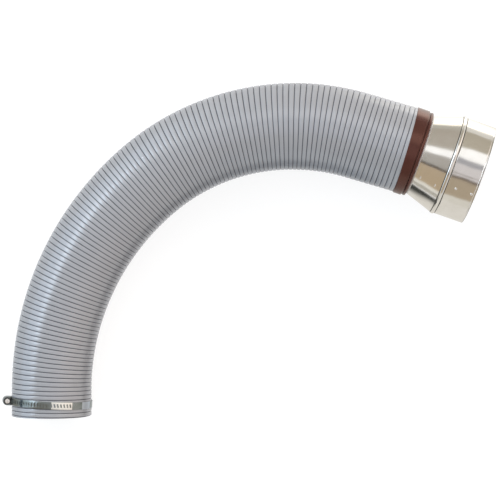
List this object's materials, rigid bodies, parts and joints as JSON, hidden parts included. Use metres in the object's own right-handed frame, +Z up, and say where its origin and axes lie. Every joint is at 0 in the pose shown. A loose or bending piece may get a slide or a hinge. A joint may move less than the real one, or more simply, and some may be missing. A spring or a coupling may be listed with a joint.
{
  "type": "flexible air duct",
  "caption": "Arched strip-wound flexible air hose with a worm-drive clamp at one end and a rubber cuff and flared sheet-metal reducer at the other.",
  "frame": {"origin": "under the middle of the whole duct, on the surface that it lies on", "axes": "+X across the arch from the clamped end to the reducer, +Y to the top of the arch, +Z up from the surface"},
  "size_m": [0.6151, 0.416, 0.1273],
  "materials": {
    "hose_strip": "satin grey interlocked strip, wound in a left-hand helix",
    "clamp_steel": "rolled zinc-plated band steel, bright with dull patches",
    "screw_steel": "zinc-plated turned steel",
    "cuff_rubber": "moulded dark red-brown rubber, slightly glossy",
    "tinned_sheet": "bright rolled tinned sheet with fine marks along the roll direction"
  },
  "bodies": {
    "clamped_end": {"hose_section_01": "hose_strip", "clamp_band": "clamp_steel", "clamp_housing": "clamp_steel"},
    "band_tongue": {"clamp_tongue": "clamp_steel"},
    "worm": {"clamp_screw": "screw_steel"},
    "hose_link_02": {"hose_section_02": "hose_strip"},
    "hose_link_03": {"hose_section_03": "hose_strip"},
    "hose_link_04": {"hose_section_04": "hose_strip"},
    "hose_link_05": {"hose_section_05": "hose_strip"},
    "hose_link_06": {"hose_section_06": "hose_strip"},
    "hose_link_07": {"hose_section_07": "hose_strip"},
    "hose_link_08": {"hose_section_08": "hose_strip"},
    "hose_link_09": {"hose_section_09": "hose_strip"},
    "hose_link_10": {"hose_section_10": "hose_strip"},
    "hose_link_11": {"hose_section_11": "hose_strip"},
    "hose_link_12": {"hose_section_12": "hose_strip"},
    "hose_link_13": {"hose_section_13": "hose_strip"},
    "reducer_end": {"hose_section_14": "hose_strip", "rubber_cuff": "cuff_rubber", "adapter_cone": "tinned_sheet", "adapter_collar": "tinned_sheet"}
  },
  "joints": [
    {"name": "clamp_worm_turn", "type": "hinge", "parent": "clamped_end", "child": "worm", "pos_m": [-0.301, -0.18832, 0.06083], "axis": [0.1802, -0.0076, 0.9836], "range_deg": [-2880, 360]},
    {"name": "band_tongue_slide", "type": "hinge", "parent": "clamped_end", "child": "band_tongue", "pos_m": [-0.2464, -0.1912, 0.05081], "axis": [0.0524, 0.9986, -0.0018], "range_deg": [-36.1, 4.6]},
    {"name": "hose_bend_01", "type": "hinge", "parent": "clamped_end", "child": "hose_link_02", "pos_m": [-0.2464, -0.1758, 0.05075], "axis": [0.0279, -0.0033, -0.9996], "range_deg": [-3.9, 1.78], "deforming": ["hose_section_01", "hose_section_02"]},
    {"name": "hose_bend_02", "type": "hinge", "parent": "hose_link_02", "child": "hose_link_03", "pos_m": [-0.24329, -0.12962, 0.05069], "axis": [0.0279, -0.0033, -0.9996], "range_deg": [-7.74, 3.51], "deforming": ["hose_section_03"]},
    {"name": "hose_bend_03", "type": "hinge", "parent": "hose_link_03", "child": "hose_link_04", "pos_m": [-0.23403, -0.08427, 0.0508], "axis": [0.0279, -0.0033, -0.9996], "range_deg": [-7.74, 3.51], "deforming": ["hose_section_04"]},
    {"name": "hose_bend_04", "type": "hinge", "parent": "hose_link_04", "child": "hose_link_05", "pos_m": [-0.21879, -0.04057, 0.05108], "axis": [0.0279, -0.0033, -0.9996], "range_deg": [-7.74, 3.51], "deforming": ["hose_section_05"]},
    {"name": "hose_bend_05", "type": "hinge", "parent": "hose_link_05", "child": "hose_link_06", "pos_m": [-0.19784, 0.00069, 0.05153], "axis": [0.0279, -0.0033, -0.9996], "range_deg": [-7.74, 3.51], "deforming": ["hose_section_06"]},
    {"name": "hose_bend_06", "type": "hinge", "parent": "hose_link_06", "child": "hose_link_07", "pos_m": [-0.17155, 0.03879, 0.05213], "axis": [0.0279, -0.0033, -0.9996], "range_deg": [-7.74, 3.51], "deforming": ["hose_section_07"]},
    {"name": "hose_bend_07", "type": "hinge", "parent": "hose_link_07", "child": "hose_link_08", "pos_m": [-0.14041, 0.07301, 0.05289], "axis": [0.0279, -0.0033, -0.9996], "range_deg": [-7.74, 3.51], "deforming": ["hose_section_08"]},
    {"name": "hose_bend_08", "type": "hinge", "parent": "hose_link_08", "child": "hose_link_09", "pos_m": [-0.10333, 0.10368, 0.05382], "axis": [0.0279, -0.0033, -0.9996], "range_deg": [-10.27, 4.62], "deforming": ["hose_section_09"]},
    {"name": "hose_bend_09", "type": "hinge", "parent": "hose_link_09", "child": "hose_link_10", "pos_m": [-0.05997, 0.12845, 0.05495], "axis": [0.0279, -0.0033, -0.9996], "range_deg": [-10.32, 4.67], "deforming": ["hose_section_10"]},
    {"name": "hose_bend_10", "type": "hinge", "parent": "hose_link_10", "child": "hose_link_11", "pos_m": [-0.01288, 0.14509, 0.05621], "axis": [0.0279, -0.0033, -0.9996], "range_deg": [-10.32, 4.67], "deforming": ["hose_section_11"]},
    {"name": "hose_bend_11", "type": "hinge", "parent": "hose_link_11", "child": "hose_link_12", "pos_m": [0.03642, 0.15306, 0.05756], "axis": [0.0279, -0.0033, -0.9996], "range_deg": [-10.32, 4.67], "deforming": ["hose_section_12"]},
    {"name": "hose_bend_12", "type": "hinge", "parent": "hose_link_12", "child": "hose_link_13", "pos_m": [0.08634, 0.15211, 0.05896], "axis": [0.0279, -0.0033, -0.9996], "range_deg": [-10.32, 4.67], "deforming": ["hose_section_13"]},
    {"name": "hose_bend_13", "type": "hinge", "parent": "hose_link_13", "child": "reducer_end", "pos_m": [0.1353, 0.14227, 0.06036], "axis": [0.0279, -0.0033, -0.9996], "range_deg": [-5.18, 2.36], "deforming": ["hose_section_14"]}
  ],
  "couplings": [
    {"joint": "band_tongue_slide", "follows": "clamp_worm_turn", "ratio": 0.0125},
    {"joint": "hose_bend_01", "follows": "hose_bend_08", "ratio": 0.3744},
    {"joint": "hose_bend_02", "follows": "hose_bend_08", "ratio": 0.74881},
    {"joint": "hose_bend_03", "follows": "hose_bend_08", "ratio": 0.74881},
    {"joint": "hose_bend_04", "follows": "hose_bend_08", "ratio": 0.74881},
    {"joint": "hose_bend_05", "follows": "hose_bend_08", "ratio": 0.74881},
    {"joint": "hose_bend_06", "follows": "hose_bend_08", "ratio": 0.74881},
    {"joint": "hose_bend_07", "follows": "hose_bend_08", "ratio": 0.74881},
    {"joint": "hose_bend_09", "follows": "hose_bend_08", "ratio": 1},
    {"joint": "hose_bend_10", "follows": "hose_bend_08", "ratio": 1},
    {"joint": "hose_bend_11", "follows": "hose_bend_08", "ratio": 1},
    {"joint": "hose_bend_12", "follows": "hose_bend_08", "ratio": 1},
    {"joint": "hose_bend_13", "follows": "hose_bend_08", "ratio": 0.5}
  ]
}
